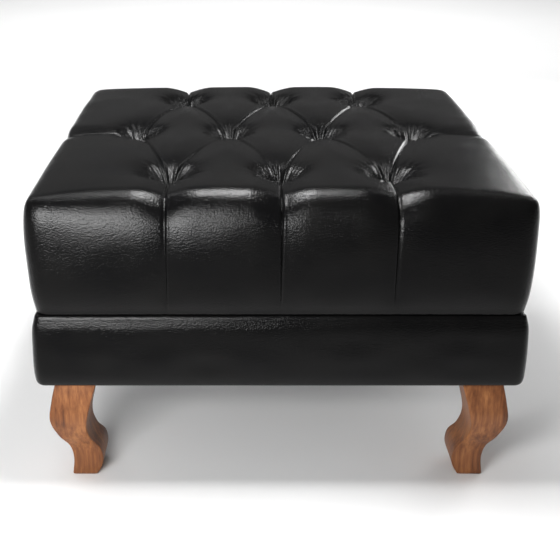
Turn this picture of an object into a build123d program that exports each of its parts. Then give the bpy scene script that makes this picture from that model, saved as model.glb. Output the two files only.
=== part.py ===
from build123d import *

import math
import os

# Tufted footstool. Millimetres, +Z up, with the origin on the floor under the middle of the base.
# +X is the right side, -Y is the front.

# The covered base, the legs under it and the cushion on it
base_width = 600.0
base_depth = 590.0
base_height = 97.0
base_corner_radius = 9.0
base_edge_radius = 4.0
leg_height = 150.0
cushion_height = 157.0

# Sheet and board thicknesses
leather_thickness = 1.4
dust_cloth_thickness = 1.0
rail_thickness = 22.0
seat_board_thickness = 15.0

# Hems that are turned under and stapled, and the dust cloth's edge
band_hem = 20.0
cushion_hem = 17.0
dust_cloth_inset = 10.0

# The wooden frame inside the base
corner_block_width = 60.0
corner_block_depth = 76.0
cross_rail_thickness = 20.0
cross_rail_height = 60.0
cross_rail_share = 0.75
cleat_width = 22.0
cleat_height = 24.0
cleat_gap = 1.0

# The cushion's outline: tucked in at its foot, bulging half way up, rolled over at the top
cushion_tuck = 2.0
cushion_bulge = 4.0
cushion_shoulder = 2.0
cushion_bulge_height = 78.0
cushion_shoulder_height = 122.0
cushion_corner_radius = 24.0
crown_side_rise = 10.0
crown_end_rise = 4.0
crown_end_ease = 0.5
corner_ease = 0.6

# The diamond pattern of buttons: rows of three, four and three
button_side_margin = 95.0
button_end_margin = 103.0
middle_row_share = 0.945
button_radius = 11.5
button_height = 8.0
button_back_thickness = 2.5
button_eye_radius = 1.3
button_eye_length = 4.0
pocket_depth = 30.0
pocket_floor_radius = 13.0

# The pleats between the buttons
pleat_half_width = 66.0
fold_half_width = 0.6
pleat_lift = 4.5
pleat_level_drop = 3.0
pleat_depth = 13.0
edge_pleat_depth = 15.0
side_pleat_half_width = 56.0
side_pleat_depth = 8.0

# The foam block, its bored wells and the twine that holds each button
foam_height = 100.0
foam_side_margin = 14.0
foam_corner_radius = 30.0
foam_edge_radius = 12.0
foam_well_radius = 30.0
foam_well_depth = 34.0
board_clearance = 0.6
twine_radius = 1.0
twine_hole_radius = 1.4
board_hole_radius = 4.0
twine_knot_radius = 2.6
clip_radius = 11.0
clip_thickness = 2.5
clip_boss_radius = 5.0
clip_boss_height = 2.0

# Legs: an S curve sawn from both sides
leg_reach = 70.0
leg_depth_ratio_share = 1.35

# Leg bolts and the threaded inserts that they turn into
leg_bolt_radius = 4.0
leg_bolt_reach = 34.0
leg_bolt_tip = 6.0
insert_radius = 6.0
insert_length = 22.0
insert_flange_radius = 9.0
insert_flange_thickness = 1.6
bolt_clearance = 0.15

# Screws through the cleats into the seat board, and through the rails into the corner blocks
screw_radius = 2.0
screw_head_radius = 4.0
screw_head_height = 2.4
screw_tip = 3.0
screw_point_taper_share = 0.8
seat_screw_length = 36.0
frame_screw_length = 46.0
screw_clearance = 0.05

# One overrun serves every cut that has to pass through a face
overrun = 5.0

# Heights and half sizes that follow from the sizes above
base_top = leg_height + base_height
band_bottom = leg_height + dust_cloth_thickness
rail_bottom = band_bottom + leather_thickness
rail_top = base_top - leather_thickness
board_bottom = base_top + leather_thickness
board_top = board_bottom + seat_board_thickness
cushion_top = base_top + cushion_height
foam_top = board_top + foam_height
pocket_floor = cushion_top - pocket_depth
pleat_level = cushion_top - pleat_level_drop
half_width = base_width / 2
half_depth = base_depth / 2
button_pitch = (base_width - 2 * button_side_margin) / 3
button_row_pitch = half_depth - button_end_margin
rail_inset = leather_thickness + rail_thickness

# Button places: (column, row) steps from the middle of the cushion, the middle row set a little closer
button_steps = {
    "front_left": (-1, -1), "front_middle": (0, -1), "front_right": (1, -1),
    "middle_far_left": (-1.5, 0), "middle_left": (-0.5, 0),
    "middle_right": (0.5, 0), "middle_far_right": (1.5, 0),
    "rear_left": (-1, 1), "rear_middle": (0, 1), "rear_right": (1, 1),
}
button_pitches = {-1: button_pitch, 0: middle_row_share * button_pitch, 1: button_pitch}
buttons = {
    name: (column * button_pitches[row], row * button_row_pitch)
    for name, (column, row) in button_steps.items()
}

# Diagonal pleats: a zigzag of buttons in front of the middle row, and its twin behind it
zigzag = (
    "middle_far_left", "{}_left", "middle_left", "{}_middle", "middle_right", "{}_right", "middle_far_right"
)
diagonal_pleats = [
    (first.format(row), last.format(row))
    for row in ("front", "rear")
    for first, last in zip(zigzag, zigzag[1:])
]

# Pleats from the outer buttons to the edge and down the side: button, heading, half size there
edge_pleats = (
    ("front_left", (0, -1, 0), half_depth),
    ("front_middle", (0, -1, 0), half_depth),
    ("front_right", (0, -1, 0), half_depth),
    ("rear_left", (0, 1, 0), half_depth),
    ("rear_middle", (0, 1, 0), half_depth),
    ("rear_right", (0, 1, 0), half_depth),
    ("middle_far_left", (-1, 0, 0), half_width),
    ("middle_far_right", (1, 0, 0), half_width),
)

# The leg's two sawn curves, as shares of its reach and height, from the sole up to the base
leg_outer_shares = (
    (0.405, 0.0), (0.437, 0.17), (0.385, 0.31), (0.235, 0.45), (0.118, 0.63), (0.160, 0.80), (0.257, 1.0)
)
leg_inner_shares = (
    (0.860, 0.0), (0.985, 0.12), (0.965, 0.26), (0.830, 0.39), (0.765, 0.54), (0.825, 0.71), (1.0, 1.0)
)

os.makedirs("parts", exist_ok=True)


def save(part, node):
    """Label a finished piece with its node's name and write it."""
    part.label = node
    export_step(part, f"parts/{node}.step")


def soft_block(width, depth, height, bottom, corner, edge):
    """A block with rounded upright corners and softened edges above and below."""
    with BuildPart() as block:
        with BuildSketch(Plane.XY.offset(bottom)):
            RectangleRounded(width, depth, corner)
        extrude(amount=height)
        rims = block.faces().filter_by(Axis.Z).edges()
        fillet(rims, edge)
    return block.part


def upright_plane(place):
    """A plane through the upright line at a place: X to the right, Y up."""
    return Plane(origin=(place[0], place[1], 0), x_dir=(1, 0, 0), z_dir=(0, -1, 0))


def revolved(points, place):
    """A round piece: its half outline, as radius and height, turned about the upright line at place."""
    with BuildPart() as turned:
        with BuildSketch(upright_plane(place)):
            with BuildLine():
                Polyline(*points, close=True)
            make_face()
        revolve(axis=Axis((place[0], place[1], 0), (0, 0, 1)))
    return turned.part


# The base frame fills the leather band exactly, so both follow from one block
frame_core = soft_block(
    base_width - 2 * leather_thickness,
    base_depth - 2 * leather_thickness,
    rail_top - rail_bottom,
    rail_bottom,
    base_corner_radius - leather_thickness,
    base_edge_radius - leather_thickness,
)

# Places that the four corners share: signs of X and Y by name
corners = {"front_left": (-1, -1), "front_right": (1, -1), "rear_left": (-1, 1), "rear_right": (1, 1)}
leg_top_width = leg_reach * (leg_inner_shares[-1][0] - leg_outer_shares[-1][0])
leg_top_start = leg_reach * leg_outer_shares[-1][0]
leg_bolt_inset_x = leg_top_start + leg_top_width / 2
leg_bolt_inset_y = leg_top_start + leg_top_width * leg_depth_ratio_share / 2
frame_screw_heights = (
    rail_bottom + (rail_top - rail_bottom) / 4,
    rail_top - (rail_top - rail_bottom) / 4,
)


def bolt_place(signs):
    """Where a corner's leg bolt stands."""
    return (signs[0] * (half_width - leg_bolt_inset_x), signs[1] * (half_depth - leg_bolt_inset_y))


def rail_screw_planes():
    """One plane for each screw that holds a front or rear rail to a corner block: seat, axis inwards."""
    planes = []
    for signs in corners.values():
        for height in frame_screw_heights:
            x = signs[0] * (half_width - rail_inset - corner_block_width / 2)
            y = signs[1] * (half_depth - leather_thickness)
            planes.append(Plane(origin=(x, y, height), x_dir=(1, 0, 0), z_dir=(0, signs[1], 0)))
    return planes


def seat_screw_planes():
    """One plane for each screw up through a cleat: seat under the cleat, axis downwards."""
    planes = []
    for row in (-1, 1):
        for column in (-1, 0, 1):
            x = column * (button_pitch + clip_radius + cleat_width)
            y = row * (half_depth - rail_inset - cleat_width / 2)
            origin = (x, y, board_bottom - cleat_height)
            planes.append(Plane(origin=origin, x_dir=(1, 0, 0), z_dir=(0, 0, -1)))
    return planes


def screw_set(planes, length, clearance):
    """A countersunk screw on each plane, its flat head at the plane and its point along the plane's -Z."""
    radius = screw_radius + clearance
    head = screw_head_radius + clearance
    point_taper = math.degrees(math.atan(radius / screw_tip)) * screw_point_taper_share
    with BuildPart() as screws:
        for plane in planes:
            middle = plane.offset(-screw_head_height)
            with BuildSketch(plane):
                Circle(head)
            with BuildSketch(middle):
                Circle(radius)
            loft(ruled=True)
            with BuildSketch(middle):
                Circle(radius)
            extrude(amount=-(length - screw_head_height - screw_tip + clearance))
            with BuildSketch(plane.offset(-(length - screw_tip + clearance))):
                Circle(radius)
            extrude(amount=-screw_tip, taper=point_taper)
    return screws.part


frame_screws = screw_set(rail_screw_planes(), frame_screw_length, 0)
frame_screw_holes = screw_set(rail_screw_planes(), frame_screw_length, screw_clearance)
seat_screws = screw_set(seat_screw_planes(), seat_screw_length, 0)
seat_screw_holes = screw_set(seat_screw_planes(), seat_screw_length, screw_clearance)


# Rails: the front and rear ones run the full width, the side ones butt between them
def make_rail(place, width, depth):
    """One rail of the base, cut out of the block that fills the leather band."""
    with BuildPart() as rail:
        add(frame_core)
        with BuildSketch(Plane.XY.offset(rail_bottom)):
            with Locations(place):
                Rectangle(width, depth)
        extrude(amount=rail_top - rail_bottom, mode=Mode.INTERSECT)
        add(frame_screw_holes, mode=Mode.SUBTRACT)
    return rail.part


rail_middle_x = half_width - leather_thickness - rail_thickness / 2
rail_middle_y = half_depth - leather_thickness - rail_thickness / 2
inner_depth = base_depth - 2 * rail_inset
save(make_rail((0, -rail_middle_y), base_width, rail_thickness), "front_rail")
save(make_rail((0, rail_middle_y), base_width, rail_thickness), "rear_rail")
save(make_rail((-rail_middle_x, 0), rail_thickness, inner_depth), "left_rail")
save(make_rail((rail_middle_x, 0), rail_thickness, inner_depth), "right_rail")


# Cross rails and cleats stand up to the seat board, past the hems
def make_bar(place, width, depth, height):
    """A bar inside the base, its top face against the seat board."""
    with BuildPart() as bar:
        with BuildSketch(Plane.XY.offset(board_bottom - height)):
            with Locations(place):
                Rectangle(width, depth)
        extrude(amount=height)
        add(seat_screw_holes, mode=Mode.SUBTRACT)
    return bar.part


cross_rail_x = cross_rail_share * button_pitch
for side, sign in (("left", -1), ("right", 1)):
    cross_rail = make_bar((sign * cross_rail_x, 0), cross_rail_thickness, inner_depth, cross_rail_height)
    save(cross_rail, f"{side}_cross_rail")

cleat_y = half_depth - rail_inset - cleat_width / 2
cleat_length = base_width - 2 * (rail_inset + corner_block_width + cleat_gap)
cross_rail_slot = cross_rail_thickness + 2 * cleat_gap
for side, sign in (("front", -1), ("rear", 1)):
    with BuildPart() as cleat:
        add(make_bar((0, sign * cleat_y), cleat_length, cleat_width, cleat_height))
        with BuildSketch(Plane.XY.offset(board_bottom - cleat_height)):
            with Locations((-cross_rail_x, sign * cleat_y), (cross_rail_x, sign * cleat_y)):
                Rectangle(cross_rail_slot, cleat_width)
        extrude(amount=cleat_height, mode=Mode.SUBTRACT)
    save(cleat.part, f"{side}_cleat")

# Corner blocks, bored from below for the threaded inserts
for corner, signs in corners.items():
    with BuildPart() as corner_block:
        with BuildSketch(Plane.XY.offset(band_bottom)):
            block_x = half_width - rail_inset - corner_block_width / 2
            block_y = half_depth - rail_inset - corner_block_depth / 2
            with Locations((signs[0] * block_x, signs[1] * block_y)):
                Rectangle(corner_block_width, corner_block_depth)
        extrude(amount=board_bottom - band_bottom)
        with BuildSketch(Plane.XY.offset(band_bottom)):
            with Locations(bolt_place(signs)):
                Circle(insert_flange_radius + bolt_clearance)
        extrude(amount=insert_flange_thickness, mode=Mode.SUBTRACT)
        with BuildSketch(Plane.XY.offset(band_bottom)):
            with Locations(bolt_place(signs)):
                Circle(insert_radius + bolt_clearance)
        extrude(amount=leg_bolt_reach + bolt_clearance, mode=Mode.SUBTRACT)
        add(frame_screw_holes, mode=Mode.SUBTRACT)
    save(corner_block.part, f"{corner}_corner_block")

save(frame_screws, "frame_screws")
save(seat_screws, "seat_screws")

# Threaded inserts and leg bolts: a group of four each
with BuildPart() as threaded_inserts:
    with BuildSketch(Plane.XY.offset(band_bottom)):
        with Locations(*[bolt_place(signs) for signs in corners.values()]):
            Circle(insert_flange_radius)
    extrude(amount=insert_flange_thickness)
    with BuildSketch(Plane.XY.offset(band_bottom)):
        with Locations(*[bolt_place(signs) for signs in corners.values()]):
            Circle(insert_radius)
    extrude(amount=insert_length)
    with BuildSketch(Plane.XY.offset(band_bottom)):
        with Locations(*[bolt_place(signs) for signs in corners.values()]):
            Circle(leg_bolt_radius + bolt_clearance)
    extrude(amount=insert_length, mode=Mode.SUBTRACT)
save(threaded_inserts.part, "threaded_inserts")


def bolt_outline(clearance):
    """Half outline of a leg bolt: machine thread above, a pointed wood thread below."""
    radius = leg_bolt_radius + clearance
    low = leg_height - leg_bolt_reach - clearance
    high = band_bottom + leg_bolt_reach - bolt_clearance
    return ((0, low), (radius, low + leg_bolt_tip), (radius, high), (0, high))


with BuildPart() as leg_bolts:
    for signs in corners.values():
        add(revolved(bolt_outline(0), bolt_place(signs)))
save(leg_bolts.part, "leg_bolts")

# The leather band: pulled round the frame, with a hem turned in above and below
with BuildPart() as band_cover:
    add(
        soft_block(
            base_width, base_depth, base_top - band_bottom, band_bottom, base_corner_radius, base_edge_radius
        )
    )
    add(frame_core, mode=Mode.SUBTRACT)
    with BuildSketch(Plane.XY.offset(band_bottom)):
        Rectangle(base_width - 2 * band_hem, base_depth - 2 * band_hem)
    extrude(amount=base_top - band_bottom, mode=Mode.SUBTRACT)
save(band_cover.part, "band_cover")

# The dust cloth under the base, pierced by the leg bolts
with BuildPart() as dust_cloth:
    with BuildSketch(Plane.XY.offset(leg_height)):
        Rectangle(base_width - 2 * dust_cloth_inset, base_depth - 2 * dust_cloth_inset)
        with Locations(*[bolt_place(signs) for signs in corners.values()]):
            Circle(leg_bolt_radius + bolt_clearance, mode=Mode.SUBTRACT)
    extrude(amount=dust_cloth_thickness)
save(dust_cloth.part, "dust_cloth")


# Legs
def leg_outer_share(height_share):
    """The outer curve's share at a height, read straight between its points."""
    for (low_out, low), (high_out, high) in zip(leg_outer_shares, leg_outer_shares[1:]):
        if height_share <= high:
            return low_out + (high_out - low_out) * (height_share - low) / (high - low)
    return leg_outer_shares[-1][0]


def leg_blank(plane, sign, edge, widen, reach):
    """One sawn profile of a leg, run right through the blank; widen stretches it from its outer curve."""
    inner_points = []
    for out, up in leg_inner_shares:
        start = leg_outer_share(up)
        inset = leg_reach * (start + (out - start) * widen)
        inner_points.append((sign * (edge - inset), leg_height * up))
    outer_points = [
        (sign * (edge - leg_reach * out), leg_height * up) for out, up in leg_outer_shares
    ]
    with BuildPart() as blank:
        with BuildSketch(plane):
            with BuildLine():
                outer = Spline(*outer_points)
                inner = Spline(*inner_points)
                Line(outer @ 0, inner @ 0)
                Line(outer @ 1, inner @ 1)
            make_face()
        extrude(amount=reach, both=True)
    return blank.part


for corner, signs in corners.items():
    across_blank = leg_blank(Plane.XZ, signs[0], half_width, 1, base_depth)
    along_blank = leg_blank(Plane.YZ, signs[1], half_depth, leg_depth_ratio_share, base_width)
    with BuildPart() as leg:
        add(across_blank)
        add(along_blank, mode=Mode.INTERSECT)
        add(revolved(bolt_outline(bolt_clearance), bolt_place(signs)), mode=Mode.SUBTRACT)
    save(leg.part, f"{corner}_leg")


# The cushion's form
def cushion_outline(half, crown_rise, crown_ease, skin):
    """Upright outline of the cushion: tucked foot, bulging side, rolled shoulder and crown.

    Where two outlines cross, the eased one passes a little over the other's crown.
    """
    foot = half - cushion_tuck
    bulge = half + cushion_bulge
    shoulder = half + cushion_shoulder
    roll = cushion_height - crown_rise - cushion_shoulder_height
    with BuildSketch(Plane.XY) as outline:
        with BuildLine():
            Line((-foot, base_top), (foot, base_top))
            for side in (-1, 1):
                ThreePointArc(
                    (side * foot, base_top),
                    (side * bulge, base_top + cushion_bulge_height),
                    (side * shoulder, base_top + cushion_shoulder_height),
                )
                RadiusArc(
                    (side * shoulder, base_top + cushion_shoulder_height),
                    (side * (shoulder - roll), cushion_top - crown_rise),
                    side * -roll,
                )
            ThreePointArc(
                (roll - shoulder, cushion_top - crown_rise),
                (0, cushion_top + crown_ease),
                (shoulder - roll, cushion_top - crown_rise),
            )
        make_face()
        if skin:
            offset(amount=-skin, kind=Kind.INTERSECTION, mode=Mode.REPLACE)
    return outline.sketch


def pleat_cutter(start, direction, length, half_width_across, depth, skin):
    """One pleat's valley: two round flanks that meet in a narrow fold, run straight from a place.

    The start is (place, outward), a point of the surface and its outward direction.
    """
    place, outward = start
    rise = depth + pleat_lift
    radius = ((half_width_across - fold_half_width) ** 2 + rise**2) / (2 * rise)
    flank = math.sqrt((radius - skin) ** 2 - (radius - rise - skin) ** 2)
    fold = half_width_across - flank
    low = -depth - skin
    high = pleat_lift - skin
    across = Vector(*outward).cross(Vector(*direction))
    with BuildPart() as cutter:
        with BuildSketch(Plane(origin=place, x_dir=across, z_dir=direction)):
            with BuildLine():
                TangentArc((-half_width_across, high), (-fold, low), tangent=(1, 0))
                Line((-fold, low), (fold, low))
                TangentArc((half_width_across, high), (fold, low), tangent=(-1, 0))
                Polyline(
                    (half_width_across, high),
                    (half_width_across, cushion_height),
                    (-half_width_across, cushion_height),
                    (-half_width_across, high),
                )
            make_face()
        extrude(amount=length)
    return cutter.part


def diagonal_cutter(first, last, skin):
    """The valley of a diagonal pleat from one button to another."""
    start = Vector(*buttons[first], pleat_level)
    run = Vector(*buttons[last], pleat_level) - start
    return pleat_cutter((start, (0, 0, 1)), run.normalized(), run.length, pleat_half_width, pleat_depth, skin)


def edge_cutters(button, direction, edge, skin):
    """The valley from an outer button to the edge of the top, and on down the upright side."""
    start = Vector(*buttons[button], pleat_level)
    heading = Vector(*direction)
    reach = edge + cushion_bulge
    length = reach - abs(start.dot(heading))
    foot = start + heading * length
    foot.Z = base_top - overrun
    rise = cushion_height + 2 * overrun
    return [
        pleat_cutter((start, (0, 0, 1)), heading, length + overrun, pleat_half_width, edge_pleat_depth, skin),
        pleat_cutter((foot, direction), (0, 0, 1), rise, side_pleat_half_width, side_pleat_depth, skin),
    ]


def pocket_cutter(place, skin):
    """A button's pocket: a funnel with a round flank down to a flat floor."""
    reach = pleat_half_width - pocket_floor_radius
    rise = pocket_depth + pleat_lift
    radius = (reach**2 + rise**2) / (2 * rise)
    flank = math.sqrt((radius - skin) ** 2 - (radius - rise - skin) ** 2)
    low = pocket_floor - skin
    high = cushion_top + pleat_lift - skin
    with BuildPart() as cutter:
        with BuildSketch(upright_plane(place)):
            with BuildLine():
                TangentArc((pleat_half_width, high), (pleat_half_width - flank, low), tangent=(-1, 0))
                Polyline(
                    (pleat_half_width - flank, low),
                    (0, low),
                    (0, cushion_top + overrun),
                    (pleat_half_width, cushion_top + overrun),
                    (pleat_half_width, high),
                )
            make_face()
        revolve(axis=Axis((place[0], place[1], 0), (0, 0, 1)))
    return cutter.part


def cushion_form(skin):
    """The tufted cushion's form, drawn in by one skin all over."""
    with BuildPart() as form:
        with BuildSketch(Plane.XZ):
            add(cushion_outline(half_width, crown_side_rise, 0, skin))
        extrude(amount=base_depth, both=True)
        with BuildSketch(Plane.YZ):
            add(cushion_outline(half_depth, crown_end_rise, crown_end_ease, skin))
        extrude(amount=base_width, both=True, mode=Mode.INTERSECT)
        with BuildSketch(Plane.XY.offset(base_top)):
            RectangleRounded(
                base_width + 2 * (cushion_bulge + corner_ease - skin),
                base_depth + 2 * (cushion_bulge + corner_ease - skin),
                cushion_corner_radius - skin,
            )
        extrude(amount=cushion_height, mode=Mode.INTERSECT)
        for place in buttons.values():
            add(pocket_cutter(place, skin), mode=Mode.SUBTRACT)
        for first, last in diagonal_pleats:
            add(diagonal_cutter(first, last, skin), mode=Mode.SUBTRACT)
        for button, direction, edge in edge_pleats:
            for cutter in edge_cutters(button, direction, edge, skin):
                add(cutter, mode=Mode.SUBTRACT)
    return form.part


def button_holes(radius, low, high):
    """An upright hole at every button, from one height to another."""
    with BuildPart() as holes:
        with BuildSketch(Plane.XY.offset(low)):
            with Locations(*buttons.values()):
                Circle(radius)
        extrude(amount=high - low)
    return holes.part


outer_form = cushion_form(0)
inner_form = cushion_form(leather_thickness)
twine_holes = button_holes(twine_hole_radius, base_top, cushion_top)

# The leather cover, stapled under the seat board along its hem
with BuildPart() as seat_cover:
    add(outer_form)
    add(inner_form, mode=Mode.SUBTRACT)
    add(twine_holes, mode=Mode.SUBTRACT)
    with BuildSketch(Plane.XY.offset(base_top)):
        cover_foot = cushion_tuck + cushion_hem
        Rectangle(base_width - 2 * cover_foot, base_depth - 2 * cover_foot)
    extrude(amount=leather_thickness, mode=Mode.SUBTRACT)
save(seat_cover.part, "seat_cover")

# The foam block, with a well bored for each button
foam_inset = cushion_tuck + leather_thickness + foam_side_margin
with BuildPart() as seat_foam:
    with BuildSketch(Plane.XY.offset(board_top)):
        RectangleRounded(base_width - 2 * foam_inset, base_depth - 2 * foam_inset, foam_corner_radius)
    extrude(amount=foam_height)
    fillet(seat_foam.faces().sort_by(Axis.Z)[-1].edges(), foam_edge_radius)
    with BuildSketch(Plane.XY.offset(foam_top)):
        with Locations(*buttons.values()):
            Circle(foam_well_radius)
    extrude(amount=-foam_well_depth, mode=Mode.SUBTRACT)
    add(button_holes(twine_hole_radius, board_top, foam_top), mode=Mode.SUBTRACT)
save(seat_foam.part, "seat_foam")

# The wadding fills what is left between the foam and the cover
with BuildPart() as seat_wadding:
    add(inner_form)
    add(seat_foam.part, mode=Mode.SUBTRACT)
    add(twine_holes, mode=Mode.SUBTRACT)
    with BuildSketch(Plane.XY.offset(base_top)):
        Rectangle(2 * base_width, 2 * base_depth)
    extrude(amount=board_top - base_top, mode=Mode.SUBTRACT)
save(seat_wadding.part, "seat_wadding")

# The seat board, drilled for the twines
board_inset = cushion_tuck + leather_thickness + board_clearance
with BuildPart() as seat_board:
    with BuildSketch(Plane.XY.offset(board_bottom)):
        RectangleRounded(
            base_width - 2 * board_inset, base_depth - 2 * board_inset, cushion_corner_radius - board_inset
        )
    extrude(amount=seat_board_thickness)
    add(button_holes(board_hole_radius, board_bottom, board_top), mode=Mode.SUBTRACT)
    add(seat_screw_holes, mode=Mode.SUBTRACT)
save(seat_board.part, "seat_board")

# Tufting buttons, their twines and the clips that hold them under the board
clip_bottom = board_bottom - clip_thickness - clip_boss_height
for name, place in buttons.items():
    with BuildPart() as button:
        with BuildSketch(upright_plane(place)):
            with BuildLine():
                Polyline(
                    (0, pocket_floor + button_height),
                    (0, pocket_floor - button_eye_length),
                    (button_eye_radius, pocket_floor - button_eye_length),
                    (button_eye_radius, pocket_floor),
                    (button_radius, pocket_floor),
                    (button_radius, pocket_floor + button_back_thickness),
                )
                TangentArc(
                    (0, pocket_floor + button_height),
                    (button_radius, pocket_floor + button_back_thickness),
                    tangent=(1, 0),
                )
            make_face()
        revolve(axis=Axis((place[0], place[1], 0), (0, 0, 1)))
    save(button.part, f"{name}_button")

    twine_top = pocket_floor - button_eye_length
    knot_low = clip_bottom - 2 * twine_knot_radius
    twine_outline = (
        (0, knot_low),
        (twine_knot_radius, knot_low + twine_radius),
        (twine_knot_radius, clip_bottom - twine_radius),
        (twine_radius, clip_bottom),
        (twine_radius, twine_top),
        (0, twine_top),
    )
    save(revolved(twine_outline, place), f"{name}_twine")

    clip_outline = (
        (twine_hole_radius, board_bottom),
        (clip_radius, board_bottom),
        (clip_radius, board_bottom - clip_thickness),
        (clip_boss_radius, board_bottom - clip_thickness),
        (clip_boss_radius, clip_bottom),
        (twine_hole_radius, clip_bottom),
    )
    save(revolved(clip_outline, place), f"{name}_clip")

print("overall size:", base_width + 2 * cushion_bulge, base_depth + 2 * cushion_bulge, cushion_top)
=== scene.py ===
# %% [markdown]
# # A deep-buttoned leather footstool
#
# A square stool with a tufted cushion of black leather sits on a leather-covered base with four
# S-curved wooden legs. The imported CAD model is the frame: it holds every real piece in its
# place, in metres. This lesson dresses it. The leather gets its folds, puffs and grain, the
# legs get their grain and soft arrises, and what lies inside gets a finish of its own. Nothing
# of the frame is moved or changed.

# %% Load the frame
import math

import bmesh
import bpy
import numpy as np
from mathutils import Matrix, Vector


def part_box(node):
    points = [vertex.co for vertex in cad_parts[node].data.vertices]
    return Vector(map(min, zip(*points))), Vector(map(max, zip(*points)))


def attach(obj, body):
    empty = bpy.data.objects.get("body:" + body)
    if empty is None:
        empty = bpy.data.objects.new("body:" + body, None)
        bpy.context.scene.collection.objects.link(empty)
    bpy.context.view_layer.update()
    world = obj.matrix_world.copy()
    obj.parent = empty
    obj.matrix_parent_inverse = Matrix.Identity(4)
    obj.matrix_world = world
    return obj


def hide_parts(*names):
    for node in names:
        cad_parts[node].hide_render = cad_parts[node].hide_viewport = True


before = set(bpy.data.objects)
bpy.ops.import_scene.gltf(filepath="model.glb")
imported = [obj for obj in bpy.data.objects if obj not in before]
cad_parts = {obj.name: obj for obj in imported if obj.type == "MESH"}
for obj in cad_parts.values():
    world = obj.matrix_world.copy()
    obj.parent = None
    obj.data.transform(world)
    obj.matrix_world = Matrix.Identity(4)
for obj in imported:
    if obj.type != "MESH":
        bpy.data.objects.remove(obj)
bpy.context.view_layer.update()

print("frame:", len(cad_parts), "nodes")

# %% [markdown]
# ## Tools for surfaces
#
# Every new surface is a grid: rows and columns of points worked out as whole arrays, joined by
# four-sided faces. Two grids that share an edge hold the same points there, and a weld closes
# the seam. Samples crowd where the leather turns sharply, because a fold is only a few
# millimetres wide.

# %% Grids and smooth lines


def grid_faces(rows, columns, start=0, closed=False):
    """Faces of a grid whose point (i, j) has the number start + i * columns + j."""
    i = np.arange(rows - 1)[:, None]
    j = np.arange(columns if closed else columns - 1)[None, :]
    k = (j + 1) % columns
    low, high = start + i * columns, start + (i + 1) * columns
    return np.stack([low + j, low + k, high + k, high + j], -1).reshape(-1, 4)


def smooth_line(points, count):
    """count points on the Catmull-Rom curve through points: on each stretch a cubic, whose slope
    at an end is half the step between that end's two neighbours."""
    p = np.array(points, float)
    p = np.concatenate([[2 * p[0] - p[1]], p, [2 * p[-1] - p[-2]]])
    t = np.linspace(0, len(points) - 1, count)
    i = np.minimum(t.astype(int), len(points) - 2)
    f = (t - i)[:, None]
    a, b, c, d = p[i], p[i + 1], p[i + 2], p[i + 3]
    cubic = (3 * b - a - 3 * c + d) * f**3 + (2 * a - 5 * b + 4 * c - d) * f**2
    return 0.5 * (2 * b + (c - a) * f + cubic)


def crowded(count, start_gain, end_gain, near=0.1):
    """count + 1 shares from 0 to 1 that crowd towards the ends: equal steps of the running sum of
    1 + start_gain e^(-t / near) + end_gain e^(-(1 - t) / near)."""
    t = np.linspace(0, 1, 2001)
    density = 1 + start_gain * np.exp(-t / near) + end_gain * np.exp(-(1 - t) / near)
    total = np.concatenate([[0], np.cumsum((density[1:] + density[:-1]) / 2)])
    return np.interp(np.linspace(0, 1, count + 1), total / total[-1], t)


def make_piece(name, points, faces, replaced):
    """One smooth mesh from points and faces, welded where grids meet, that rides on the stool's
    one body and stands for the replaced nodes."""
    mesh = bpy.data.meshes.new(name)
    mesh.from_pydata(points.tolist(), [], faces.tolist())
    shape = bmesh.new()
    shape.from_mesh(mesh)
    bmesh.ops.remove_doubles(shape, verts=shape.verts, dist=2e-5)
    bmesh.ops.recalc_face_normals(shape, faces=shape.faces)
    shape.to_mesh(mesh)
    shape.free()
    mesh.shade_smooth()
    piece = bpy.data.objects.new(name, mesh)
    bpy.context.scene.collection.objects.link(piece)
    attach(piece, "root")
    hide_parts(*replaced)
    return piece


print("tools ready")

# %% [markdown]
# ## The cushion's plain form
#
# Before it is buttoned, the cushion is a soft square block. Its sides belly out a little, draw
# in towards the base, and roll over at the top into a low crown. In plan the outline is a
# rectangle whose corners are superellipses, so that the leather has no sudden change of curve
# there.

# %% Outline, crown and roll
FULL_X, FULL_Y, FULL_Z = 0.304, 0.299, 0.322
CORNER_REACH, CORNER_POWER = 0.026, 2.4
SIDE_ROLL, END_ROLL, SIDE_POWER, END_POWER = 0.016, 0.038, 3.8, 2.5
CROWN_TOP, SIDE_FALL, END_FALL = 0.405, 0.010, 0.003
# (how far inside the fullest outline, height) down the side, round the foot and under to the hem
SIDE_LINE = [
    (0.0000, 0.3220), (0.0001, 0.3050), (0.0006, 0.2880), (0.0017, 0.2740), (0.0034, 0.2620),
    (0.0047, 0.2560), (0.0055, 0.2520), (0.0059, 0.2494), (0.0068, 0.2480), (0.0120, 0.2474),
    (0.0240, 0.2474),
]


def inset(x, y):
    """How far inside the outline a point lies. Past a corner's centre it is the corner's reach
    less (qx^n + qy^n)^(1/n), where q is how far past, and elsewhere the distance to the nearest
    straight side."""
    qx = abs(x) - (FULL_X - CORNER_REACH)
    qy = abs(y) - (FULL_Y - CORNER_REACH)
    past = np.maximum(qx, 0) ** CORNER_POWER + np.maximum(qy, 0) ** CORNER_POWER
    past = past ** (1 / CORNER_POWER)
    return CORNER_REACH - past - np.minimum(np.maximum(qx, qy), 0)


def roll_reach(x):
    """How wide the roll is: widest in the middle of the front and rear, and as x^8 narrower to
    the sides."""
    return END_ROLL - (END_ROLL - SIDE_ROLL) * (x / FULL_X) ** 8


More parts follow.
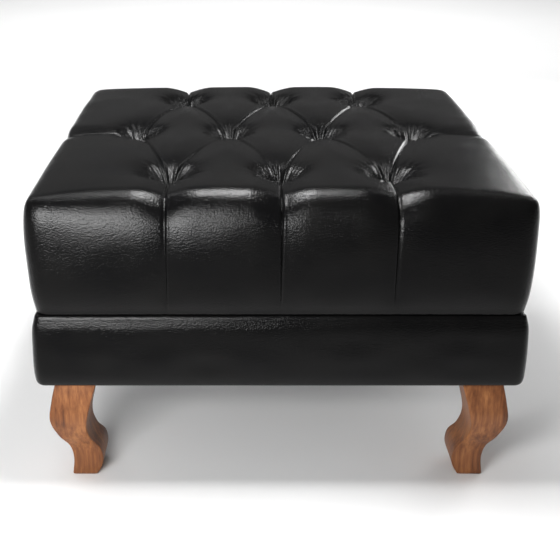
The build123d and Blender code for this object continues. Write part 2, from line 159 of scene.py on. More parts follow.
def top_height(x, y):
    """The crown falls as x^4 towards the sides and, less, as y^4 towards the front and rear.
    Inside the roll its height above the fullest line shrinks as the quarter superellipse
    (1 - s^n)^(1/n), where s is how far the point is into the roll. n grows as x^8 towards the
    sides, where the leather turns over more sharply."""
    crown = CROWN_TOP - SIDE_FALL * (x / FULL_X) ** 4 - END_FALL * (y / FULL_Y) ** 4
    s = (1 - inset(x, y) / roll_reach(x)).clip(0, 1)
    power = END_POWER + (SIDE_POWER - END_POWER) * (x / FULL_X) ** 8
    return FULL_Z + (crown - FULL_Z) * (1 - s**power) ** (1 / power)


def outline_quarter(start_x, shares):
    """Points and outward directions along the outline, from (start_x, -FULL_Y) round the corner to
    (FULL_X, 0), at shares of its length."""
    angle = np.linspace(0, math.pi / 2, 400)
    arc_x = FULL_X - CORNER_REACH * (1 - np.sin(angle) ** (2 / CORNER_POWER))
    arc_y = -FULL_Y + CORNER_REACH * (1 - np.cos(angle) ** (2 / CORNER_POWER))
    x = np.concatenate([np.linspace(start_x, arc_x[0], 200)[:-1], arc_x, np.full(200, FULL_X)[1:]])
    y = np.concatenate([np.full(199, -FULL_Y), arc_y, np.linspace(arc_y[-1], 0, 200)[1:]])
    length = np.concatenate([[0], np.cumsum(np.hypot(np.diff(x), np.diff(y)))])
    at = shares * length[-1]
    px, py = np.interp(at, length, x), np.interp(at, length, y)
    qx = np.maximum(px - (FULL_X - CORNER_REACH), 0) ** (CORNER_POWER - 1)
    qy = np.maximum(-py - (FULL_Y - CORNER_REACH), 0) ** (CORNER_POWER - 1)
    size = np.hypot(qx, qy)
    return np.stack([px, py], 1), np.stack([qx / size, -qy / size], 1)


print("roll:", SIDE_ROLL, "to", END_ROLL, "by", round(CROWN_TOP - END_FALL - FULL_Z, 4))

# %% [markdown]
# ## Ten buttons and the folds between them
#
# The buttons stand in rows of three, four and three. Each one is drawn down by a twine into a
# pocket. The spare leather between two neighbours is folded under in a straight pleat, and from
# the outer buttons a pleat runs over the edge and down the side. These lines cut the top into
# diamonds. Real makers fold the pleats with a flat tool after the twines are pulled, so both
# lips of a pleat roll in and one lies a little over the other.

# %% Buttons and pleats
COLUMN, MIDDLE_COLUMN, ROW = 0.13667, 0.12915, 0.192
BUTTONS = {
    "front_left": (-COLUMN, -ROW), "front_middle": (0, -ROW), "front_right": (COLUMN, -ROW),
    "middle_far_left": (-1.5 * MIDDLE_COLUMN, 0), "middle_left": (-0.5 * MIDDLE_COLUMN, 0),
    "middle_right": (0.5 * MIDDLE_COLUMN, 0), "middle_far_right": (1.5 * MIDDLE_COLUMN, 0),
    "rear_left": (-COLUMN, ROW), "rear_middle": (0, ROW), "rear_right": (COLUMN, ROW),
}
ZIGZAG = [
    "middle_far_left", "{}_left", "middle_left", "{}_middle", "middle_right", "{}_right",
    "middle_far_right",
]
DIAGONALS = [
    (first.format(row), last.format(row))
    for row in ("front", "rear")
    for first, last in zip(ZIGZAG, ZIGZAG[1:])
]
EDGE_PLEATS = [(name, (0, -1)) for name in ("front_left", "front_middle", "front_right")]
EDGE_PLEATS += [(name, (0, 1)) for name in ("rear_left", "rear_middle", "rear_right")]
EDGE_PLEATS += [("middle_far_left", (-1, 0)), ("middle_far_right", (1, 0))]

VALLEY_HALF, VALLEY_DEPTH = 0.055, 0.0030
LIP_HALF, LIP_DEPTH, BEAD = 0.0045, 0.0028, 0.0006
BEAD_PLACE, BEAD_WIDTH, FOLD_REACH = 0.0032, 0.0017, 0.012
# a pleat's extra depth beside a button, and how fast it fades along the pleat
PULL_DEPTH, PULL_REACH = 0.023, 0.035
# the four inner pleats of the front, whose folds open out around SOFT_PLACE of their length
SOFT_SHARE, SOFT_PLACE, SOFT_WIDTH = 0.85, 0.62, 0.26
SOFT_FOLDS = [
    pleat for pleat in DIAGONALS
    if "front" in pleat[0] + pleat[1] and "far" not in pleat[0] + pleat[1]
]
# pleats to the edge: depth over the shoulder at the front and rear, and at the sides
EDGE_DEPTH, SIDE_DEPTH, EDGE_HALF = 0.0105, 0.0075, 0.052
POCKET_DEPTH, POCKET_FLOOR, POCKET_SPREAD = 0.030, 0.008, 0.0160


def roll_in(distance, half, depth):
    """A lip's round edge: depth (1 - sqrt(1 - (1 - d / half)^2)) out to half, nothing beyond."""
    t = (1 - distance / half).clip(0, 1)
    return depth * (1 - np.sqrt(1 - t**2))


def pleat_fold(across, depth, bead):
    """One pleat's fold at a signed distance from its line. Both lips round in over LIP_HALF, and
    on the positive side the leather stands up in a bead, the tuck's folded edge:
    bead exp(-((d - BEAD_PLACE) / BEAD_WIDTH)^2)."""
    swell = bead * np.exp(-(((across - BEAD_PLACE) / BEAD_WIDTH) ** 2))
    return roll_in(abs(across), LIP_HALF, depth) - swell


def leather_depth(x, y, z):
    """How far the buttons and pleats draw the leather in at each point. The valleys and pockets
    join as the fourth root of the sum of fourth powers, and the sharp folds are added."""
    total = np.zeros_like(x)
    fold = np.zeros_like(x)
    high = ((z - 0.256) / (0.378 - 0.256)).clip(0, 1)
    foot = ((z - 0.2510) / 0.026).clip(0, 1)
    for first, last in DIAGONALS:
        (ax, ay), (bx, by) = BUTTONS[first], BUTTONS[last]
        length = math.hypot(bx - ax, by - ay)
        ux, uy = (bx - ax) / length, (by - ay) / length
        along = ((x - ax) * ux + (y - ay) * uy).clip(0, length)
        across = np.hypot(x - ax - along * ux, y - ay - along * uy)
        steep = np.exp(-along / PULL_REACH) + np.exp(-(length - along) / PULL_REACH)
        deepest = VALLEY_DEPTH + PULL_DEPTH * steep
        valley = deepest * (1 - across / VALLEY_HALF).clip(0, 1) ** 2
        total += valley**4
        side = (y - ay) * ux - (x - ax) * uy
        inside = (np.minimum(along, length - along) / 0.014).clip(0, 1)
        soft = SOFT_SHARE if (first, last) in SOFT_FOLDS else 0
        shut = 1 - soft * np.exp(-(((along / length - SOFT_PLACE) / SOFT_WIDTH) ** 2))
        signed = np.where(side < 0, -across, across)
        near = pleat_fold(signed, LIP_DEPTH * shut, BEAD * inside * shut)
        fold = np.where((across < FOLD_REACH) & (abs(near) > abs(fold)), near, fold)
    for name, (ux, uy) in EDGE_PLEATS:
        ax, ay = BUTTONS[name]
        along = np.maximum((x - ax) * ux + (y - ay) * uy, 0)
        across = np.hypot(x - ax - along * ux, y - ay - along * uy)
        full = EDGE_DEPTH if ux == 0 else SIDE_DEPTH
        shoulder = ((z - 0.362) / 0.033).clip(0, 1) ** 1.5
        # the fixed shares make 3 mm together, and the shoulder adds what full still lacks
        depth = 0.0002 + 0.0018 * foot + 0.0010 * high + (full - 0.0030) * shoulder
        depth = depth + 0.008 * np.exp(-along / 0.025)
        total += (depth * (1 - across / EDGE_HALF).clip(0, 1) ** 2) ** 4
        side = (x - ax) * abs(uy) + (y - ay) * abs(ux)
        signed = np.where(side < 0, -across, across)
        near = pleat_fold(signed, 0.0004 + 0.0012 * foot + 0.0016 * high, BEAD * foot * 0.7)
        beside = (across < FOLD_REACH) & (along > 0)
        fold = np.where(beside & (abs(near) > abs(fold)), near, fold)
    for bx, by in BUTTONS.values():
        r = np.hypot(x - bx, y - by)
        wall = np.maximum(r - POCKET_FLOOR, 0) / POCKET_SPREAD
        total += (POCKET_DEPTH / (1 + wall**2.1)) ** 4
    return np.minimum(total**0.25 + fold, POCKET_DEPTH + 0.0005)


print("buttons:", len(BUTTONS))
print("pleats:", len(DIAGONALS), "diagonal,", len(EDGE_PLEATS), "to the edge")

# %% [markdown]
# ## Gathers and slack
#
# Round each button the leather is too wide for the pocket, so it gathers into small radial
# creases, deepest on the pocket's wall. On the wide faces it is a little slack, and long
# shallow waves run through it.

# %% Gathers and waves
rng = np.random.default_rng(7)
GATHERS = {name: (rng.uniform(0, 2 * math.pi, 4), rng.uniform(0.8, 1.2)) for name in BUTTONS}
WAVES = [
    (rng.normal(size=3), rng.uniform(0, 2 * math.pi), rng.uniform(0.055, 0.16)) for _ in range(14)
]
GATHER_DEPTH, GATHER_RING, GATHER_WIDTH = 0.0046, 0.028, 0.014
WAVE_DEPTH = 0.0022


def gathers(x, y):
    """Radial folds round each button: 0.6 - |cos(14 a)|, round ridges with sharp creases between
    them, whose angle a is warped by sines. They are strongest at GATHER_RING and fade either way
    as exp(-((r - ring) / width)^2)."""
    total = np.zeros_like(x)
    for name, (bx, by) in BUTTONS.items():
        phases, strength = GATHERS[name]
        r = np.hypot(x - bx, y - by)
        angle = np.arctan2(y - by, x - bx)
        warped = angle + 0.10 * np.sin(3 * angle + phases[0]) + 0.05 * np.sin(7 * angle + phases[1])
        ripple = 0.6 - abs(np.cos(14 * warped + phases[2]))
        ripple = ripple * (0.75 + 0.40 * np.cos(5 * angle + phases[3]))
        near = np.exp(-(((r - GATHER_RING) / GATHER_WIDTH) ** 2))
        total += GATHER_DEPTH * strength * ripple * near
    return total


def waves(points):
    """The mean of fourteen sine waves, each with its own direction and length."""
    total = np.zeros(points.shape[:-1])
    for direction, phase, length in WAVES:
        direction = direction / np.linalg.norm(direction)
        total += np.sin(points @ direction * (2 * math.pi / length) + phase)
    return total / len(WAVES)


print("gathers at", len(GATHERS), "buttons")

# %% [markdown]
# ## The cushion's leather
#
# The surface is made of three diamonds and a ring of strips round them. A strip starts on the
# zigzag of outer pleats, crosses the rest of the top, turns over the roll, and goes down the
# side to the hem. Every pleat lies on the edge of a grid, so it stays sharp. The leather is
# pushed in along the plain form's own direction: straight down on the top, inwards on the
# sides, and in between on the roll.

# %% Cushion mesh
STEPS = 76
ACROSS = crowded(STEPS, 3.0, 3.0, 0.12)
TOP_ROWS, ROLL_ROWS, SIDE_ROWS = 50, 22, 20


def pushed(x, y, z, turn, outward):
    """Points moved by their leather depth against the plain form's direction:
    outward sin(turn) + up cos(turn)."""
    depth = leather_depth(x, y, z) + gathers(x, y)
    slack = (0.35 + 0.65 * np.sin(turn)) * ((z - 0.250) / 0.030).clip(0, 1)
    depth = depth + WAVE_DEPTH * waves(np.stack([x, y, z], -1)) * slack
    side = depth * np.sin(turn)
    moved_x, moved_y = x - outward[..., 0] * side, y - outward[..., 1] * side
    return np.stack([moved_x, moved_y, z - depth * np.cos(turn)], -1)


def strip(inner, outer, outward):
    """A grid from the inner line over the top, roll and side to the hem."""
    length = np.linalg.norm(outer - inner, axis=1)
    lean = ((outer - inner) * outward).sum(1) / length
    roll_start = 1 - (roll_reach(outer[:, 0]) / lean / length).clip(0, 0.8)
    turn = np.linspace(0, math.pi / 2, ROLL_ROWS + 1)[1:]
    on_top = crowded(TOP_ROWS, 1.8, 0.2)[:, None] * roll_start
    on_roll = 1 - (1 - roll_start) * (1 - np.sin(turn)[:, None] ** (2 / END_POWER))
    share = np.concatenate([on_top, on_roll])[..., None]
    flat = inner + (outer - inner) * share
    x, y = flat[..., 0], flat[..., 1]
    z = top_height(x, y)
    side = smooth_line(SIDE_LINE, SIDE_ROWS + 1)[1:]
    x = np.concatenate([x, outer[:, 0] - side[:, :1] * outward[:, 0]])
    y = np.concatenate([y, outer[:, 1] - side[:, :1] * outward[:, 1]])
    z = np.concatenate([z, np.broadcast_to(side[:, 1:], (SIDE_ROWS, len(inner)))])
    turns = np.concatenate([np.zeros(TOP_ROWS + 1), turn, np.full(SIDE_ROWS, math.pi / 2)])[:, None]
    return pushed(x, y, z, turns, np.broadcast_to(outward, x.shape + (2,)))


def line(first, last):
    """Points on the straight pleat between two buttons, crowded towards both."""
    a, b = np.array(BUTTONS[first]), np.array(BUTTONS[last])
    return a + (b - a) * ACROSS[:, None]


grids = []
for left, peak, right, side in (
    ("front_left", "middle_left", "front_middle", -1),
    ("front_middle", "middle_right", "front_right", -1),
    ("rear_left", "middle_left", "rear_middle", 1),
    ("rear_middle", "middle_right", "rear_right", 1),
):
    inner = np.concatenate([line(left, peak), line(peak, right)[1:]])
    outer = np.stack([inner[:, 0], np.full(len(inner), side * FULL_Y)], 1)
    grids.append(strip(inner, outer, np.tile([0, side], (len(inner), 1))))
corner_line, corner_out = outline_quarter(COLUMN, ACROSS)
for near, far, sx, sy in (
    ("front_right", "middle_far_right", 1, 1), ("front_left", "middle_far_left", -1, 1),
    ("rear_right", "middle_far_right", 1, -1), ("rear_left", "middle_far_left", -1, -1),
):
    grids.append(strip(line(near, far), corner_line * (sx, sy), corner_out * (sx, sy)))
for front, right, rear, left in (
    ("front_left", "middle_left", "rear_left", "middle_far_left"),
    ("front_middle", "middle_right", "rear_middle", "middle_left"),
    ("front_right", "middle_far_right", "rear_right", "middle_right"),
):
    a, b, c, d = (np.array(BUTTONS[name]) for name in (front, right, rear, left))
    u, v = ACROSS[:, None, None], ACROSS[None, :, None]
    flat = (1 - u) * (1 - v) * a + u * (1 - v) * b + u * v * c + (1 - u) * v * d
    x, y = flat[..., 0], flat[..., 1]
    grids.append(pushed(x, y, top_height(x, y), np.zeros_like(x), np.zeros(x.shape + (2,))))

points, faces, start = [], [], 0
for grid in grids:
    points.append(grid.reshape(-1, 3))
    faces.append(grid_faces(*grid.shape[:2], start=start))
    start += grid.shape[0] * grid.shape[1]
cushion = make_piece(
    "cushion", np.concatenate(points), np.concatenate(faces),
    ("seat_cover", "seat_wadding"),
)
print("cushion:", len(cushion.data.vertices), "points,", len(cushion.data.polygons), "faces")

# %% [markdown]
# ## The band round the base
#
# The same leather is pulled tight round the wooden box of the base and stapled out of sight,
# above and below. Its edges are soft. It stands out up to about 5 mm in its lower part, because
# the photographed base narrows less towards its foot than a straight box would. A faint
# unevenness bends its streaks of light.

# %% Band mesh
BASE_X, BASE_Y = 0.300, 0.295
BAND_CORNER = 0.009
BAND_LINE = [
    (0.0200, 0.1512), (0.0100, 0.1512), (0.0024, 0.1514), (-0.0012, 0.1526),
    (-0.0034, 0.1556), (-0.0046, 0.1610), (-0.0052, 0.1700), (-0.0052, 0.1830),
    (-0.0048, 0.1980), (-0.0042, 0.2120), (-0.0035, 0.2230), (-0.0026, 0.2300),
    (-0.0014, 0.2350), (-0.0001, 0.2395), (0.0011, 0.2435), (0.0030, 0.2462),
    (0.0060, 0.2470), (0.0130, 0.2472), (0.0200, 0.2472),
]


def rounded_ring(half_x, half_y, corner, per_side, per_corner):
    """Points and outward directions round a rectangle with round corners, anticlockwise from the
    right: straight runs between quarter circles, corner (cos a, sin a) from each one's centre."""
    places, outs = [], []
    for quarter in range(4):
        angle = math.pi / 2 * (quarter + np.linspace(0, 1, per_corner + 1))
        sx = 1 if quarter in (0, 3) else -1
        sy = 1 if quarter in (0, 1) else -1
        out = np.stack([np.cos(angle), np.sin(angle)], 1)
        centre = np.array([sx * (half_x - corner), sy * (half_y - corner)])
        places.append(centre + corner * out)
        outs.append(out)
        following = centre * ((-1, 1) if quarter in (0, 2) else (1, -1)) + corner * out[-1]
        share = np.linspace(0, 1, per_side + 1)[1:-1, None]
        places.append(places[-1][-1] + (following - places[-1][-1]) * share)
        outs.append(np.repeat(out[-1:], per_side - 1, 0))
    return np.concatenate(places), np.concatenate(outs)


ring, ring_out = rounded_ring(BASE_X, BASE_Y, BAND_CORNER, 90, 10)
profile = smooth_line(BAND_LINE, 90)
xy = ring[None] - ring_out[None] * profile[:, None, :1]
z = np.broadcast_to(profile[:, 1:], xy.shape[:2])
swell = 0.0012 * waves(np.stack([xy[..., 0], xy[..., 1], 1.6 * z], -1) * 1.3)
swell = swell * np.sin(math.pi * ((z - 0.153) / 0.092).clip(0, 1)) ** 0.7
xy = xy + ring_out[None] * swell[..., None]
edge = np.sin(math.pi * ((z - 0.238) / 0.009).clip(0, 1) / 2)
lift = 0.0004 * waves(np.stack([xy[..., 0], xy[..., 1], 0 * z], -1) * 2.2) * edge
points = np.concatenate([xy, (z + lift)[..., None]], -1)
band = make_piece(
    "band", points.reshape(-1, 3), grid_faces(*points.shape[:2], closed=True),
    ("band_cover",),
)
print("band:", len(band.data.polygons), "faces")

# %% [markdown]
# ## The buttons
#
# A covered button is a metal shell with a disc of the same leather pressed over it. The leather
# puckers where it is tucked under the rim.

# %% Button meshes
DOME_ROWS, DOME_SPOKES = 44, 72
# (share of the radius, share of the height) from the top over the rim and under
DOME_LINE = [
    (0.02, 1.0), (0.22, 0.985), (0.45, 0.93), (0.68, 0.80), (0.86, 0.62), (0.97, 0.42),
    (0.99, 0.26), (0.90, 0.12), (0.70, 0.04), (0.40, 0.01), (0.12, 0.0),
]
dome = smooth_line(DOME_LINE, DOME_ROWS)
turn = np.linspace(0, 2 * math.pi, DOME_SPOKES, endpoint=False)
button_pieces = []
for number, (name, (bx, by)) in enumerate(BUTTONS.items()):
    low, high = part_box(f"{name}_button")
    radius = (high.x - low.x) / 2
    rise = high.z - low.z
    rim = np.exp(-(((dome[:, 1:] - 0.3) / 0.25) ** 2))
    pucker = 1 - 0.018 * (1 + np.cos(22 * turn + number)) * rim
    x = bx + radius * dome[:, :1] * pucker * np.cos(turn)
    y = by + radius * dome[:, :1] * pucker * np.sin(turn)
    z = np.broadcast_to(low.z + rise * dome[:, 1:], x.shape)
    points = np.stack([x, y, z], -1).reshape(-1, 3)
    ends = np.array([[bx, by, low.z + rise], [bx, by, low.z]])
    faces = grid_faces(DOME_ROWS, DOME_SPOKES, closed=True).tolist()
    j = np.arange(DOME_SPOKES)
    k = (j + 1) % DOME_SPOKES
    under = (DOME_ROWS - 1) * DOME_SPOKES
    faces += np.stack([np.full_like(j, len(points)), k, j], 1).tolist()
    faces += np.stack([np.full_like(j, len(points) + 1), under + j, under + k], 1).tolist()
    points = np.concatenate([points, ends])
    mesh = bpy.data.meshes.new(f"{name}_dome")
    mesh.from_pydata(points.tolist(), [], faces)
    mesh.shade_smooth()
    piece = bpy.data.objects.new(f"{name}_dome", mesh)
    bpy.context.scene.collection.objects.link(piece)
    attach(piece, "root")
    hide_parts(f"{name}_button")
    button_pieces.append(piece)
print("buttons:", len(button_pieces))

# %% [markdown]
# ## The legs
#
# Each leg is sawn from a block along an S curve, first from one side and then from the other,
# so its section is a rectangle everywhere: a knee that swells outwards under the base, a thin
# ankle, and a foot that turns out. The arrises are sanded soft.

# %% Leg meshes
LEG_HEIGHT, LEG_REACH, LEG_DEEP = 0.150, 0.070, 1.35
# the two sawn curves from the sole up: (share of the reach, share of the height)
LEG_OUTER = [
    (0.405, 0), (0.437, 0.17), (0.385, 0.31), (0.235, 0.45), (0.118, 0.63), (0.160, 0.80),
    (0.257, 1),
]
LEG_INNER = [
    (0.860, 0), (0.985, 0.12), (0.965, 0.26), (0.830, 0.39), (0.765, 0.54), (0.825, 0.71),
    (1.0, 1),
]
LEG_ROWS, ARRIS = 72, 0.0016
SOLE_ROUND, SOLE_RISE = 0.0022, 0.0025

leg_z = np.linspace(0, 1, LEG_ROWS)
outer_line = smooth_line(LEG_OUTER, 400)
inner_line = smooth_line(LEG_INNER, 400)
outer_at = LEG_REACH * np.interp(leg_z, outer_line[:, 1], outer_line[:, 0])
inner_at = LEG_REACH * np.interp(leg_z, inner_line[:, 1], inner_line[:, 0])
deep_at = outer_at + (inner_at - outer_at) * LEG_DEEP
end_round = SOLE_ROUND * roll_in(leg_z * LEG_HEIGHT, SOLE_RISE, 1)
unit, unit_out = rounded_ring(1.0, 1.0, 0.0, 8, 6)
leg_pieces = []
for corner, sx, sy in (
    ("front_left", -1, -1), ("front_right", 1, -1), ("rear_left", -1, 1), ("rear_right", 1, 1),
):
    low_x, high_x = BASE_X - inner_at + end_round, BASE_X - outer_at - end_round
    low_y, high_y = BASE_Y - deep_at + end_round, BASE_Y - outer_at - end_round
    cx, hx = (low_x + high_x) / 2, (high_x - low_x) / 2
    cy, hy = (low_y + high_y) / 2, (high_y - low_y) / 2
    x = cx[:, None] + unit[:, 0] * (hx - ARRIS)[:, None] + unit_out[:, 0] * ARRIS
    y = cy[:, None] + unit[:, 1] * (hy - ARRIS)[:, None] + unit_out[:, 1] * ARRIS
    z = np.broadcast_to((leg_z * LEG_HEIGHT)[:, None], x.shape)
    points = np.stack([sx * x, sy * y, z], -1)
    count = points.shape[1]
    flat = points.reshape(-1, 3)
    faces = grid_faces(LEG_ROWS, count, closed=True).tolist()
    faces.append(tuple(range(count - 1, -1, -1)))
    faces.append(tuple(range((LEG_ROWS - 1) * count, LEG_ROWS * count)))
    mesh = bpy.data.meshes.new(f"{corner}_carved_leg")
    mesh.from_pydata(flat.tolist(), [], faces)
    shape = bmesh.new()
    shape.from_mesh(mesh)
    bmesh.ops.recalc_face_normals(shape, faces=shape.faces)
    shape.to_mesh(mesh)
    shape.free()
    mesh.shade_smooth()
    piece = bpy.data.objects.new(f"{corner}_carved_leg", mesh)
    bpy.context.scene.collection.objects.link(piece)
    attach(piece, "root")
    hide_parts(f"{corner}_leg")
    leg_pieces.append(piece)
print("legs:", len(leg_pieces))

# %% [markdown]
# ## Leather
#
# The leather is black and polished, with a fine pebbled grain. Its colour is close to even;
# what the eye sees is the gloss, broken into speckles by the grain and dulled a little where it
# has been handled.

# %% Material helpers


def new_material(name):
    """An empty node material with its Principled shader."""
    material = bpy.data.materials.new(name)
    material.use_nodes = True
    nodes, links = material.node_tree.nodes, material.node_tree.links
    return material, nodes, links, nodes["Principled BSDF"]


def texture(nodes, links, kind, coords, scale, stretch=(1, 1, 1), **values):
    """A texture node of that kind that reads object coordinates, stretched along the axes."""
    mapping = nodes.new("ShaderNodeMapping")
    mapping.inputs["Scale"].default_value = stretch
    links.new(coords.outputs["Object"], mapping.inputs["Vector"])
    node = nodes.new(kind)
    node.inputs["Scale"].default_value = scale
    for key, value in values.items():
        node.inputs[key.replace("_", " ")].default_value = value
    links.new(mapping.outputs["Vector"], node.inputs["Vector"])
    return node


def ramp(nodes, links, source, stops):
    """A colour ramp on source with (position, colour) stops."""
    node = nodes.new("ShaderNodeValToRGB")
    elements = node.color_ramp.elements
    for i, (position, colour) in enumerate(stops):
        element = elements[i] if i < 2 else elements.new(position)
        element.position = position
        element.color = (*colour, 1)
    links.new(source, node.inputs["Fac"])
    return node


def spread(nodes, links, source, low, high, from_low=0.0, from_high=1.0):
    """A map of source from one range to another."""
    node = nodes.new("ShaderNodeMapRange")
    for key, value in (
        ("From Min", from_low), ("From Max", from_high), ("To Min", low), ("To Max", high),
    ):
        node.inputs[key].default_value = value
    links.new(source, node.inputs["Value"])
    return node


def bump(nodes, links, source, strength, distance, before=None):
    """A bump node on source, stacked on an earlier one."""
    node = nodes.new("ShaderNodeBump")
    node.inputs["Strength"].default_value = strength
    node.inputs["Distance"].default_value = distance
    links.new(source, node.inputs["Height"])
    if before is not None:
        links.new(before.outputs["Normal"], node.inputs["Normal"])
    return node


print("material helpers ready")

# %% [markdown]
# The leather's grain is three bumps, one on another: shallow creases, rounded cells, and a fine
# roughness. Each is only a fraction of a millimetre, because steeper bumps spread the
# highlights wide and dull. The same fine noise varies the gloss a little.

# %% Leather material


def make_leather():
    """Near-black leather: three stacked bumps, and roughness a cloud's share + 0.09 fine noise."""
    material, nodes, links, shader = new_material("black_leather")
    coords = nodes.new("ShaderNodeTexCoord")
    cells = texture(nodes, links, "ShaderNodeTexVoronoi", coords, 620)
    fine = texture(nodes, links, "ShaderNodeTexNoise", coords, 560, Detail=3, Roughness=0.5)
    creases = texture(
        nodes, links, "ShaderNodeTexNoise", coords, 1.0, (110, 110, 100), Detail=3, Roughness=0.5
    )
    cloud = texture(nodes, links, "ShaderNodeTexNoise", coords, 16, Detail=4, Roughness=0.6)
    colour = ramp(nodes, links, cloud.outputs["Fac"], [
        (0.3, (0.0012, 0.0012, 0.0014)), (0.7, (0.0028, 0.0027, 0.0026)),
    ])
    links.new(colour.outputs["Color"], shader.inputs["Base Color"])
    handled = spread(nodes, links, cloud.outputs["Fac"], 0.11, 0.18, 0.35, 0.65)
    grainy = nodes.new("ShaderNodeMath")
    grainy.operation = "MULTIPLY_ADD"
    links.new(fine.outputs["Fac"], grainy.inputs[0])
    grainy.inputs[1].default_value = 0.09
    links.new(handled.outputs["Result"], grainy.inputs[2])
    links.new(grainy.outputs["Value"], shader.inputs["Roughness"])
    first = bump(nodes, links, creases.outputs["Fac"], 0.15, 0.0004)
    second = bump(nodes, links, cells.outputs["Distance"], 0.35, 0.0004, first)
    third = bump(nodes, links, fine.outputs["Fac"], 1.0, 0.00045, second)
    links.new(third.outputs["Normal"], shader.inputs["Normal"])
    shader.inputs["IOR"].default_value = 1.27
    return material


leather = make_leather()
for piece in [cushion, band] + button_pieces:
    piece.data.materials.append(leather)
print("leather on", 2 + len(button_pieces), "pieces")

# %% [markdown]
# ## Leg wood
#
# The legs are a plain hardwood, stained a warm red-brown and finished satin. The grain runs
# upright, and the stain has settled darker along it.

# %% Leg wood material


def make_leg_wood():
    """Stained hardwood: upright streaks mixed with broad bands set colour and gloss, and fine
    pores the bump."""
    material, nodes, links, shader = new_material("stained_wood")
    coords = nodes.new("ShaderNodeTexCoord")
    streak = texture(
        nodes, links, "ShaderNodeTexNoise", coords, 1.0, (250, 250, 9), Detail=6, Roughness=0.62
    )
    pores = texture(
        nodes, links, "ShaderNodeTexNoise", coords, 1.0, (1100, 1100, 40), Detail=2, Roughness=0.5
    )
    broad = texture(
        nodes, links, "ShaderNodeTexNoise", coords, 1.0, (38, 38, 5), Detail=3, Roughness=0.5
    )
    mixed = nodes.new("ShaderNodeMix")
    mixed.data_type = "FLOAT"
    mixed.inputs["Factor"].default_value = 0.45
    links.new(streak.outputs["Fac"], mixed.inputs["A"])
    links.new(broad.outputs["Fac"], mixed.inputs["B"])
    colour = ramp(nodes, links, mixed.outputs["Result"], [
        (0.32, (0.055, 0.016, 0.005)), (0.45, (0.150, 0.049, 0.015)),
        (0.55, (0.235, 0.086, 0.028)), (0.68, (0.370, 0.152, 0.052)),
    ])
    links.new(colour.outputs["Color"], shader.inputs["Base Color"])
    rough = spread(nodes, links, mixed.outputs["Result"], 0.34, 0.50, 0.3, 0.7)
    links.new(rough.outputs["Result"], shader.inputs["Roughness"])
    first = bump(nodes, links, pores.outputs["Fac"], 0.25, 0.0003)
    links.new(first.outputs["Normal"], shader.inputs["Normal"])
    shader.inputs["Specular IOR Level"].default_value = 0.35
    return material


leg_wood = make_leg_wood()
for piece in leg_pieces:
    piece.data.materials.append(leg_wood)
print("wood on", len(leg_pieces), "legs")

# %% [markdown]
# ## What lies inside
#
# The rails, blocks and cleats are planed pine, the seat board is plywood, and the foam, twines,
# clips, bolts and dust cloth each have their own look. They show when the stool is turned over
# or taken apart.

# %% Inner materials


def make_inner(name, low, high, stretch, roughness, bump_strength=0.3, metallic=0.0):
    """A plain procedural finish: a colour between low and high that follows stretched noise, and
    its bump."""
    material, nodes, links, shader = new_material(name)
    coords = nodes.new("ShaderNodeTexCoord")
    noise = texture(
        nodes, links, "ShaderNodeTexNoise", coords, 1.0, stretch, Detail=5, Roughness=0.6
    )
    colour = ramp(nodes, links, noise.outputs["Fac"], [(0.32, low), (0.68, high)])
    links.new(colour.outputs["Color"], shader.inputs["Base Color"])
    rough = spread(nodes, links, noise.outputs["Fac"], roughness - 0.06, roughness + 0.06)
    links.new(rough.outputs["Result"], shader.inputs["Roughness"])
    raised = bump(nodes, links, noise.outputs["Fac"], bump_strength, 0.0005)
    links.new(raised.outputs["Normal"], shader.inputs["Normal"])
    shader.inputs["Metallic"].default_value = metallic
    return material


inner = {
    "frame_wood": make_inner(
        "planed_pine", (0.50, 0.34, 0.18), (0.72, 0.55, 0.34), (14, 90, 90), 0.6
    ),
    "plywood": make_inner(
        "sanded_plywood", (0.46, 0.32, 0.18), (0.66, 0.50, 0.31), (10, 60, 700), 0.6
    ),
    "foam": make_inner(
        "open_foam", (0.70, 0.66, 0.50), (0.86, 0.83, 0.70), (900, 900, 900), 0.9, 0.6
    ),
    "dust_cloth": make_inner(
        "black_dust_cloth", (0.022, 0.022, 0.025), (0.05, 0.05, 0.052), (700, 700, 700), 0.85
    ),
    "twine": make_inner(
        "waxed_twine", (0.52, 0.47, 0.36), (0.76, 0.71, 0.60), (1500, 1500, 500), 0.6
    ),
    "clip_plastic": make_inner(
        "moulded_clip", (0.74, 0.74, 0.71), (0.84, 0.84, 0.82), (120, 120, 120), 0.45, 0.1
    ),
    "zinc_steel": make_inner(
        "zinc_steel", (0.50, 0.50, 0.49), (0.70, 0.70, 0.68), (260, 260, 260), 0.34, 0.1, 1.0
    ),
    "wadding": make_inner(
        "loose_wadding", (0.80, 0.80, 0.78), (0.92, 0.92, 0.90), (300, 300, 300), 0.9, 0.6
    ),
    "leather": leather,
    "leg_wood": leg_wood,
}
# the ending of a node's name, and its finish
NODE_SLOTS = [
    ("rail", "frame_wood"), ("cleat", "frame_wood"), ("corner_block", "frame_wood"),
    ("seat_board", "plywood"), ("foam", "foam"), ("dust_cloth", "dust_cloth"),
    ("twine", "twine"), ("clip", "clip_plastic"), ("screws", "zinc_steel"),
    ("inserts", "zinc_steel"), ("bolts", "zinc_steel"), ("wadding", "wadding"),
    ("cover", "leather"), ("button", "leather"), ("leg", "leg_wood"),
]
for name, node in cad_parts.items():
    finish = next(slot for ending, slot in NODE_SLOTS if name.endswith(ending))
    for place in node.material_slots:
        place.material = inner[finish]
print("finishes:", len(inner))

# %% [markdown]
# ## Studio
#
# A wide white floor fills the picture, as in a catalogue photograph. It has a faint tone, as
# paper has.

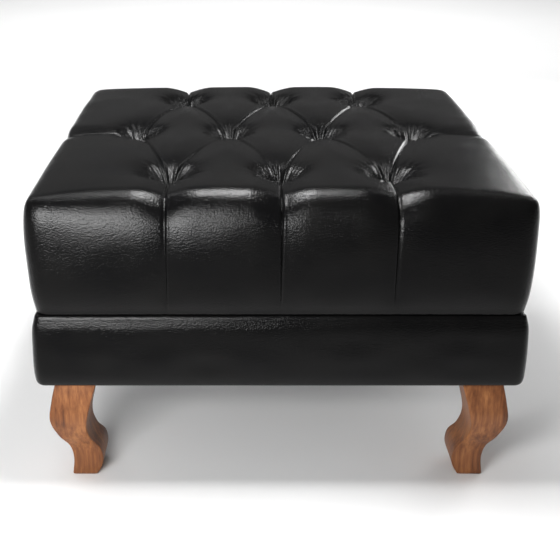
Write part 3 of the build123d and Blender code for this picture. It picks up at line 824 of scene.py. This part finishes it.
# %% Floor
floor_mesh = bpy.data.meshes.new("floor")
floor_mesh.from_pydata([(-14, -10, 0), (14, -10, 0), (14, 22, 0), (-14, 22, 0)], [], [(0, 1, 2, 3)])
floor = bpy.data.objects.new("floor", floor_mesh)
bpy.context.scene.collection.objects.link(floor)
material, nodes, links, shader = new_material("white_floor")
coords = nodes.new("ShaderNodeTexCoord")
paper = texture(nodes, links, "ShaderNodeTexNoise", coords, 3.0, Detail=3, Roughness=0.5)
tone = ramp(nodes, links, paper.outputs["Fac"], [
    (0.3, (0.925, 0.925, 0.925)), (0.7, (0.94, 0.94, 0.94)),
])
links.new(tone.outputs["Color"], shader.inputs["Base Color"])
shader.inputs["Roughness"].default_value = 0.9
shader.inputs["Specular IOR Level"].default_value = 0.1
floor_mesh.materials.append(material)
print("floor:", len(floor_mesh.polygons), "face")

# %% [markdown]
# Black leather shows little but what it mirrors, so each light has one job. A narrow strip over
# the front edge draws the bright line along the roll. A panel low at the front left faces up,
# and glows in the left half of the front. One behind on the right edges that side. Three more
# light only the floor behind. A weak sun and a dim room fill in the rest. These places suit the
# main view: from behind, the top mirrors the front panel.

# %% Lights


def panel(name, place, aim, size_x, size_y, power):
    """A rectangular soft light at place that faces aim."""
    light = bpy.data.lights.new(name, "AREA")
    light.shape = "RECTANGLE"
    light.size, light.size_y, light.energy = size_x, size_y, power
    lamp = bpy.data.objects.new(name, light)
    bpy.context.scene.collection.objects.link(lamp)
    lamp.location = place
    lamp.visible_camera = False
    back = np.array(place) - np.array(aim)
    flat = math.hypot(back[0], back[1])
    lamp.rotation_euler = (math.atan2(flat, back[2]), 0, math.atan2(back[0], -back[1]))
    return lamp


sun_light = bpy.data.lights.new("overhead", "SUN")
sun_light.energy = 0.6
sun_light.angle = math.radians(24)
sun = bpy.data.objects.new("overhead", sun_light)
bpy.context.scene.collection.objects.link(sun)
sun.rotation_euler = (math.radians(-12), math.radians(-10), 0)
panel("top_strip", (-0.07, -0.22, 1.0), (-0.07, 0.30, 0.39), 0.14, 0.46, 13)
panel("front_left_panel", (-0.40, -0.95, 0.54), (-0.25, -0.30, 0.94), 0.42, 0.44, 16)
panel("rear_right_panel", (1.5, 1.8, 0.68), (0.28, -0.1, 0.39), 1.0, 0.5, 14)
panel("backdrop_left", (-1.5, 0.9, 2.0), (-0.6, 3.4, 0.0), 1.2, 1.2, 28)
panel("backdrop_right", (1.5, 0.9, 2.0), (0.6, 3.4, 0.0), 1.2, 1.2, 26)
panel("backdrop_far", (0.0, 3.0, 2.4), (0.0, 5.8, 0.0), 3.0, 0.6, 60)

world = bpy.data.worlds.new("room")
bpy.context.scene.world = world
world.use_nodes = True
world.node_tree.nodes["Background"].inputs["Color"].default_value = (0.17, 0.17, 0.17, 1)
world.node_tree.nodes["Background"].inputs["Strength"].default_value = 1.0
print("lights ready")

# %% [markdown]
# The camera looks down at the stool from the front. Its sideways shift moves the picture across
# without turning the camera, which would change the perspective of the front.

# %% Camera
camera_data = bpy.data.cameras.new("camera")
camera_data.lens = 63.0
camera_data.sensor_width = 36
camera_data.shift_x = 0.0624
camera_data.clip_end = 100
camera = bpy.data.objects.new("camera", camera_data)
bpy.context.scene.collection.objects.link(camera)
camera.location = (-0.043, -1.3600, 0.7578)
camera.rotation_euler = (math.radians(90 - 23.49), 0, 0)
bpy.context.scene.camera = camera
bpy.context.scene.view_settings.view_transform = "Standard"
print("camera lens:", camera_data.lens, "mm")
